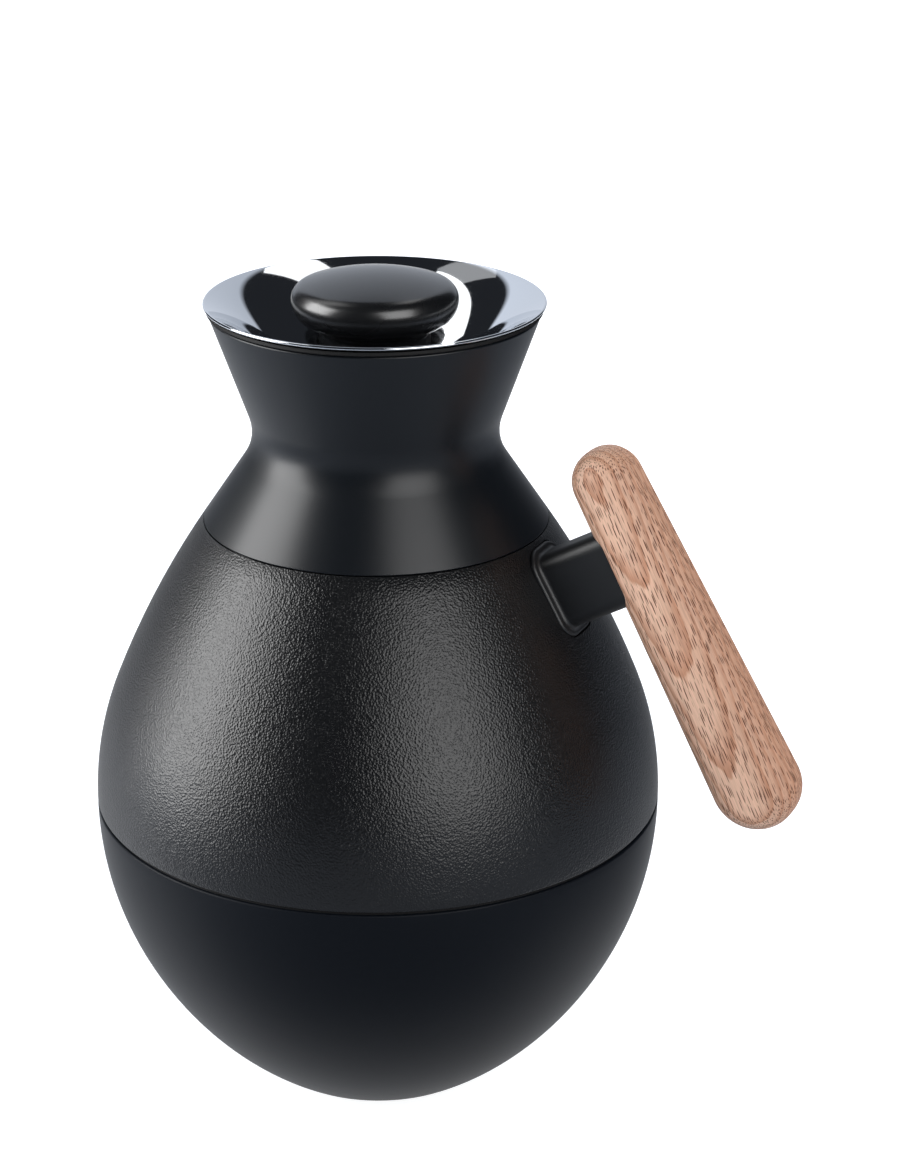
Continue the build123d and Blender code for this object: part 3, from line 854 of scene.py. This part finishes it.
@dataclass
class BarHandle:
    """Beech bar that stands off the jug on one flanged boss.

    Attributes:
        up: Height of the middle of the bar's top round above the boss's axis.
        down: Depth of the middle of its bottom round below that axis.
        boss: Width across the jug and height up the bar.
        flange_level: Level of the flange's inner face along the boss's axis.
        cut_ends: Levels at which the shell's cutters end, well inside and outside its wall.
        face_insets: How far in from its rounded edge the bar's flat face gets two more rings.
    """

    up: float = 22.2
    down: float = 69.2
    top_radius: float = 9.3
    bottom_radius: float = 12.1
    thickness: float = 16.0
    edge: float = 6.5
    boss: Pair = (14.0, 21.5)
    corner: float = 4.0
    flange: float = 2.3
    flange_level: float = -1.8
    cut_ends: Pair = (-7.8, 5.2)
    slip: float = SLIP
    wall: float = WALL
    plate: Pair = (21.2, 28.6)
    plate_corner: float = 0.5
    plate_room_depth: float = 8.0
    face_insets: Pair = (1.2, 0.3)
    corner_steps: int = 8
    edge_steps: int = 9
    end_steps: int = 40

    def stand_off(self, name: str, mesh: BMesh) -> Object:
        """Makes an object of a mesh drawn with X across the jug, Y up the bar and Z out along the boss.

        Args:
            name: Name of the object.
            mesh: Its vertices and faces.

        Returns:
            The object, in its place.
        """
        out = Vector((cos(radians(HANDLE_TILT)), 0, sin(radians(HANDLE_TILT))))
        across = Vector((0, 1, 0))
        turned = Matrix((across, out.cross(across), out)).transposed().to_4x4()
        root = Matrix.Translation((HANDLE_ROOT[0], 0, HANDLE_ROOT[1]))
        bmesh.ops.transform(mesh, matrix=root @ turned, verts=mesh.verts)
        return mesh_piece(name, mesh)

    def block(self, name: str, size: Pair, corner: float, low: float, high: float) -> Object:
        """Makes a block with rounded corners, square to the boss's axis.

        Args:
            name: Name of the block.
            size: Width across the jug and height up the bar.
            corner: Radius of its corners.
            low: Level of its inner end.
            high: Level of its outer end.

        Returns:
            The block.
        """
        mesh = bmesh.new()
        ring = []
        for quarter in range(4):
            side = unit(90 * quarter + 45)
            x = copysign(size[0] / 2 - corner, side.x)
            y = copysign(size[1] / 2 - corner, side.y)
            for step in range(self.corner_steps + 1):
                spoke = unit(90 * quarter + 90 * step / self.corner_steps)
                ring.append((x + corner * spoke.x, y + corner * spoke.y))
        join_rings(mesh, [[mesh.verts.new((x, y, level)) for x, y in ring] for level in (low, high)])
        return self.stand_off(name, mesh)

    def pocket(self) -> Object:
        """Makes the room that the boss's flange takes in the shell."""
        size = tuple(side + 2 * (self.flange + self.slip) for side in self.boss)
        return self.block("pocket", size, self.corner + self.flange, self.flange_level, self.cut_ends[1])

    def passage(self) -> Object:
        """Makes the hole that the boss takes through the shell."""
        size = tuple(side + 2 * self.slip for side in self.boss)
        return self.block("passage", size, self.corner, self.cut_ends[0], 0)

    def plate_room(self) -> Object:
        """Makes the room that the clamp plate takes in the collar's spigot."""
        low = -self.wall - self.plate_room_depth
        return self.block("plate_room", self.plate, self.plate_corner, low, -self.wall)

    def rim(self, inset: float) -> list[Point]:
        """Gives the bar's outline, seen from its side.

        Args:
            inset: Distance in from the bar's edge.

        Returns:
            Points along the boss's axis and up the bar.
        """
        lean = degrees(asin((self.bottom_radius - self.top_radius) / (self.up + self.down)))
        ends = [(self.up, self.top_radius, lean, 180 - lean),
                (-self.down, self.bottom_radius, 180 - lean, 360 + lean)]
        line = []
        for height, radius, start, stop in ends:
            for step in range(self.end_steps + 1):
                spoke = (radius - inset) * unit(start + (stop - start) * step / self.end_steps)
                line.append((HANDLE_STANDOFF + spoke.x, height + spoke.y))
        return line

    def bar(self) -> Object:
        """Makes the beech bar: tapered, with full-round ends and rounded edges.

        Returns:
            The piece.
        """
        mesh = bmesh.new()
        half = self.thickness / 2
        levels = [(self.edge + inset, half) for inset in self.face_insets]
        for step in range(self.edge_steps + 1):
            angle = radians(90 * step / self.edge_steps)
            levels.append((self.edge * (1 - sin(angle)), half - self.edge * (1 - cos(angle))))
        levels += [(inset, -across) for inset, across in levels[::-1]]
        join_rings(mesh, [[mesh.verts.new((across, up, out)) for out, up in self.rim(inset)]
                          for inset, across in levels])
        return self.stand_off("handle_grip_bar", mesh)

    def build(self, wardrobe: Wardrobe) -> None:
        """Builds and dresses the bar.

        Args:
            wardrobe: The finishes.
        """
        wardrobe.dress(self.bar(), Body.JUG, "handle_grip")


@dataclass
class PushStopper:
    """Knob and spring of the push-button stopper.

    Attributes:
        shoulder: Radius of the round above the knob's widest place.
        belly: Radius of the round below it.
        cavity: Radius and top of the room for the spring.
        socket: Radius and bottom of the tube that holds the stem.
        stem: Radius and top of the stem's hole.
        strides: Most degrees between points on the crown, the shoulder, the belly and the neck.
    """

    radius: float = 22.6
    top: float = 236.6
    middle: float = 229.2
    shoulder: float = 4.6
    belly: float = 7.0
    neck_radius: float = 15.0
    neck_top: float = 219.0
    neck_edges: Pair = (0.4, 0.3)
    bottom: float = 212.8
    cavity: Point = (12.4, 226.0)
    socket: Point = (5.0, 218.0)
    stem: Point = (1.75, 230.0)
    deck_top: float = 208.5
    spring_radius: float = 8.9
    wire_radius: float = 0.6
    turns: float = 4.5
    travel: float = 4.0
    strides: tuple[float, float, float, float] = (0.7, 3.0, 3.0, 4.0)
    segments: int = 192
    coil_steps: int = 200
    wire_steps: int = 10

    def knob(self) -> Object:
        """Turns the knob: a pebble on a short neck, hollow for the spring.

        Returns:
            The piece.
        """
        crown_drop = self.top - self.middle - self.shoulder
        crown_reach = self.radius - self.shoulder
        crown_turn = degrees(2 * atan2(crown_drop, crown_reach))
        crown = self.shoulder + crown_reach / sin(radians(crown_turn))
        belly_drop = self.middle - self.neck_top
        belly_turn = degrees(2 * atan2(self.radius - self.neck_radius, belly_drop))
        neck = belly_drop / sin(radians(belly_turn)) - self.belly
        line = Outline((0, self.top))
        radii = (crown, self.shoulder, self.belly, neck)
        bends = (-crown_turn, crown_turn - 90, -belly_turn, belly_turn)
        for radius, turn, stride in zip(radii, bends, self.strides):
            line.bend(radius, turn, stride)
        line.to((self.neck_radius, self.bottom), self.neck_edges[0])
        line.to((self.cavity[0], self.bottom), self.neck_edges[1])
        steps = (self.cavity, self.socket, self.stem, (0, 0))
        for step, following in zip(steps, steps[1:]):
            line.to(step)
            line.to((following[0], step[1]))
        return turn_piece("stopper_knob_pebble", line.points(), self.segments)

    def spring(self) -> Object:
        """Winds the return spring as a round wire.

        Returns:
            The piece.
        """
        mesh = bmesh.new()
        height = self.cavity[1] - self.deck_top - 2 * self.wire_radius
        rings = []
        for step in range(self.coil_steps + 1):
            angle = 2 * pi * self.turns * step / self.coil_steps
            level = self.deck_top + self.wire_radius + height * step / self.coil_steps
            ring = []
            for spoke in range(self.wire_steps):
                swing = 2 * pi * spoke / self.wire_steps
                reach = self.spring_radius + self.wire_radius * cos(swing)
                rise = level + self.wire_radius * sin(swing)
                ring.append(mesh.verts.new((reach * cos(angle), reach * sin(angle), rise)))
            rings.append(ring)
        join_rings(mesh, rings)
        return mesh_piece("return_spring_coil", mesh)

    def build(self, wardrobe: Wardrobe) -> None:
        """Builds and dresses the knob and the spring.

        Args:
            wardrobe: The finishes.
        """
        wardrobe.dress(self.knob(), Body.PUSH_KNOB, "stopper_knob")
        spring = self.spring()
        wardrobe.dress(spring, Body.STOPPER, "return_spring")
        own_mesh(spring)


@dataclass
class Camera:
    """Camera at the photograph's place, from a fit of its perspective."""

    azimuth: float = 26.0
    distance: float = 738.0
    height: float = 434.1
    pitch: float = 21.35
    yaw: float = 1.58
    roll: float = 0.133
    focal_pixels: float = 2836.0
    image_height: float = 1176.0
    sensor: float = 36.0

    def build(self) -> None:
        """Makes the camera and gives it to the scene."""
        data = bpy.data.cameras.new("photo_camera")
        data.sensor_width = self.sensor
        data.lens = self.focal_pixels * self.sensor / self.image_height
        camera = bpy.data.objects.new("photo_camera", data)
        bpy.context.scene.collection.objects.link(camera)
        swing = Matrix.Rotation(radians(self.azimuth), 4, "Z")
        turned = Matrix.Rotation(radians(self.azimuth - self.yaw), 4, "Z")
        tipped = Matrix.Rotation(radians(90 - self.pitch), 4, "X")
        rolled = Matrix.Rotation(radians(self.roll), 4, "Z")
        spot = swing @ Vector((0, -self.distance * MM, self.height * MM))
        camera.matrix_world = Matrix.Translation(spot) @ turned @ tipped @ rolled
        bpy.context.scene.camera = camera


class Aim(Enum):
    """Ways that a light can face."""

    JUG = "jug"
    DOWN = "down"


@dataclass(frozen=True)
class Softbox:
    """One soft studio light.

    Attributes:
        swing: Angle from the camera, seen from above, positive to its right.
        rise: Angle above the table.
        power: Power in watts.
        height: Height of the point on the jug's axis that it is measured from.
        reflected: Whether glossy pieces show its image.
    """

    name: str
    swing: float
    rise: float
    distance: float
    size: Pair
    power: float
    height: float = 0.09
    aim: Aim = Aim.JUG
    reflected: bool = True

    def build(self, camera_azimuth: float) -> None:
        """Makes the light.

        Args:
            camera_azimuth: Azimuth of the camera.
        """
        data = bpy.data.lights.new(self.name, "AREA")
        data.shape = "RECTANGLE"
        data.size, data.size_y = self.size
        data.energy = self.power
        light = bpy.data.objects.new(self.name, data)
        light.visible_glossy = self.reflected
        bpy.context.scene.collection.objects.link(light)
        heading = radians(camera_azimuth - 90 + self.swing)
        flat = cos(radians(self.rise))
        away = Vector((flat * cos(heading), flat * sin(heading), sin(radians(self.rise))))
        light.location = Vector((0, 0, self.height)) + self.distance * away
        light.rotation_euler = (0, 0, radians(camera_azimuth))
        if self.aim is Aim.JUG:
            light.rotation_euler = away.to_track_quat("Z", "Y").to_euler()


# Height of the funnel's mouth, which the lights that it mirrors are measured from
MOUTH = 0.225
LIGHTS = (
    Softbox("left_softbox", swing=-86, rise=18, distance=1.1, size=(0.78, 1.0), power=22.1),
    Softbox("right_softbox", swing=32, rise=25, distance=1.2, size=(0.85, 1.0), power=11.3),
    Softbox("rear_left_softbox", swing=-108, rise=47, distance=1.1, size=(0.46, 0.85), power=2.2,
            height=MOUTH),
    Softbox("overhead_softbox", swing=144.6, rise=59.6, distance=1.04, size=(0.23, 0.5), power=0.6,
            height=MOUTH, aim=Aim.DOWN),
    Softbox("rear_panel", swing=-145.3, rise=53, distance=1.13, size=(0.234, 0.5), power=0.15,
            height=MOUTH, aim=Aim.DOWN),
    Softbox("right_fill", swing=95, rise=25, distance=1.3, size=(0.9, 0.9), power=5, reflected=False),
    Softbox("back_fill", swing=175, rise=25, distance=1.5, size=(1.2, 1.2), power=12, reflected=False),
)


@dataclass
class Studio:
    """Pale floor, soft lights and a room, where floor and room are white to the camera.

    Reflections show less: a floor that glows only beside and behind the jug, and a dim room with one pale
    wall behind it. So the black body keeps its dark front, and the funnel its dark and pale parts.

    Attributes:
        floor_glow: Glow of the floor at the jug and far away.
        glow_reach: Distances from the jug's axis between which it changes.
        glow_front: Depths behind the axis between which the reflected glow starts.
        glow_sides: Where it ends left and right of the axis, and how far that moves with the depth.
        wall_half: Angles from straight behind the jug between which the wall ends.
        wall_top: Sines of the angles above the table between which it ends.
        wall_levels: Brightness at its left and right end.
    """

    floor_radius: float = 4.0
    floor_drop: float = 0.0004
    floor_segments: int = 96
    floor_colour: str = "9CA2AC"
    floor_roughness: float = 0.9
    floor_specular: float = 0.1
    floor_glow: Pair = (0.9, 1.1)
    glow_reach: Pair = (0.12, 0.4)
    glow_front: Pair = (-0.10, -0.04)
    glow_sides: tuple[Pair, Pair] = ((-0.17, -0.13), (0.11, 0.18))
    glow_fade: float = 0.12
    wall_colour: str = "DFE6F2"
    wall_half: Pair = (30.5, 33.5)
    wall_top: Pair = (0.76, 0.83)
    wall_levels: Pair = (1.15, 0.8)
    dim: str = "26282C"

    def floor(self, azimuth: float) -> None:
        """Lays the floor, which keeps the jug's shadow.

        Args:
            azimuth: Azimuth of the camera.
        """
        made, skin, add = new_material("floor_matt_pale")
        set_inputs(skin, {"Base Color": linear(self.floor_colour), "Roughness": self.floor_roughness,
                          "Specular IOR Level": self.floor_specular})
        rays = add("LightPath").outputs
        mirrored = add("Math", {0: rays["Is Glossy Ray"], 1: rays["Is Transmission Ray"]},
                       operation="MAXIMUM")
        spot = add("TexCoord").outputs["Object"]
        away = add("VectorMath", {0: spot}, operation="LENGTH").outputs["Value"]
        level = add("MapRange", {"Value": away, **span("From", self.glow_reach),
                                 **span("To", self.floor_glow)})
        right = Vector((cos(radians(azimuth)), sin(radians(azimuth)), 0))
        back = Vector((-right.y, right.x, 0))
        depth = add("VectorMath", {0: spot, 1: back}, operation="DOT_PRODUCT").outputs["Value"]
        spread = add("MapRange", {"Value": depth, **span("From", self.glow_front)})
        for (end, widening), sign in zip(self.glow_sides, (1, -1)):
            across = right - widening * back
            aside = add("VectorMath", {0: spot, 1: across}, operation="DOT_PRODUCT").outputs["Value"]
            inside = add("MapRange", {"Value": aside, **span("From", (end - sign * self.glow_fade, end))})
            spread = add("Math", {0: spread, 1: inside}, operation="MULTIPLY")
        lit = add("Math", {0: spread, 1: mirrored}, operation="MULTIPLY")
        white = add("Math", {0: lit, 1: rays["Is Camera Ray"]}, operation="MAXIMUM")
        glow = add("Math", {0: white, 1: level}, operation="MULTIPLY")
        both = add("AddShader", {0: skin, 1: add("Emission", {"Strength": glow})})
        set_inputs(made.node_tree.nodes["Material Output"], {"Surface": both})
        mesh = bmesh.new()
        bmesh.ops.create_circle(mesh, cap_ends=True, radius=self.floor_radius / MM,
                                segments=self.floor_segments)
        floor = mesh_piece("floor", mesh)
        floor.location.z = -self.floor_drop
        floor.data.materials.append(made)

    def room(self, azimuth: float) -> None:
        """Sets the room: a pale, cool wall behind the jug, brighter at the left, and dim elsewhere.

        Args:
            azimuth: Azimuth of the camera.
        """
        world = bpy.data.worlds.new("room")
        bpy.context.scene.world = world
        world.use_nodes = True
        add = partial(add_node, world.node_tree)
        towards = add("TexCoord").outputs["Generated"]
        turned = add("Mapping", {"Vector": towards, "Rotation": (0, 0, radians(-azimuth))})
        parts = add("SeparateXYZ", {"Vector": turned}).outputs
        heading = add("Math", {0: parts["X"], 1: parts["Y"]}, operation="ARCTAN2")
        aside = add("Math", {0: heading}, operation="ABSOLUTE")
        inner, outer = [radians(angle) for angle in self.wall_half]
        wide = add("MapRange", {"Value": aside, **span("From", (inner, outer)), **FADE_OUT})
        low = add("MapRange", {"Value": parts["Z"], **span("From", self.wall_top), **FADE_OUT})
        on_wall = add("Math", {0: wide, 1: low}, operation="MULTIPLY")
        level = add("MapRange", {"Value": heading, **span("From", (-inner, inner)),
                                 **span("To", self.wall_levels)})
        wall = add("Mix", {"Factor": 1.0, MIX_A: linear(self.wall_colour), MIX_B: level},
                   data_type="RGBA", blend_type="MULTIPLY")
        mirrored = add("Mix", {"Factor": on_wall, MIX_A: linear(self.dim), MIX_B: wall.outputs[MIXED]},
                       data_type="RGBA")
        seen = add("LightPath").outputs["Is Camera Ray"]
        backdrop = add("Mix", {"Factor": seen, MIX_A: mirrored.outputs[MIXED], MIX_B: linear("FFFFFF")},
                       data_type="RGBA")
        set_inputs(world.node_tree.nodes["Background"], {"Color": backdrop.outputs[MIXED]})

    def build(self, camera: Camera) -> None:
        """Builds the studio.

        Args:
            camera: Camera that the lights are placed from.
        """
        bpy.context.scene.view_settings.view_transform = "Standard"
        self.floor(camera.azimuth)
        self.room(camera.azimuth)
        for light in LIGHTS:
            light.build(camera.azimuth)


def main() -> None:
    """Builds the looks of the jug around its solids."""
    logging.basicConfig(level=logging.INFO, format="%(name)s: %(message)s")
    camera = Camera()
    camera.build()
    Studio().build(camera)
    wardrobe = Wardrobe()
    wardrobe.dress_solids()
    handle = BarHandle()
    Casing().build(wardrobe, handle)
    Funnel().build(wardrobe)
    handle.build(wardrobe)
    PushStopper().build(wardrobe)


if __name__ == "__main__":
    main()
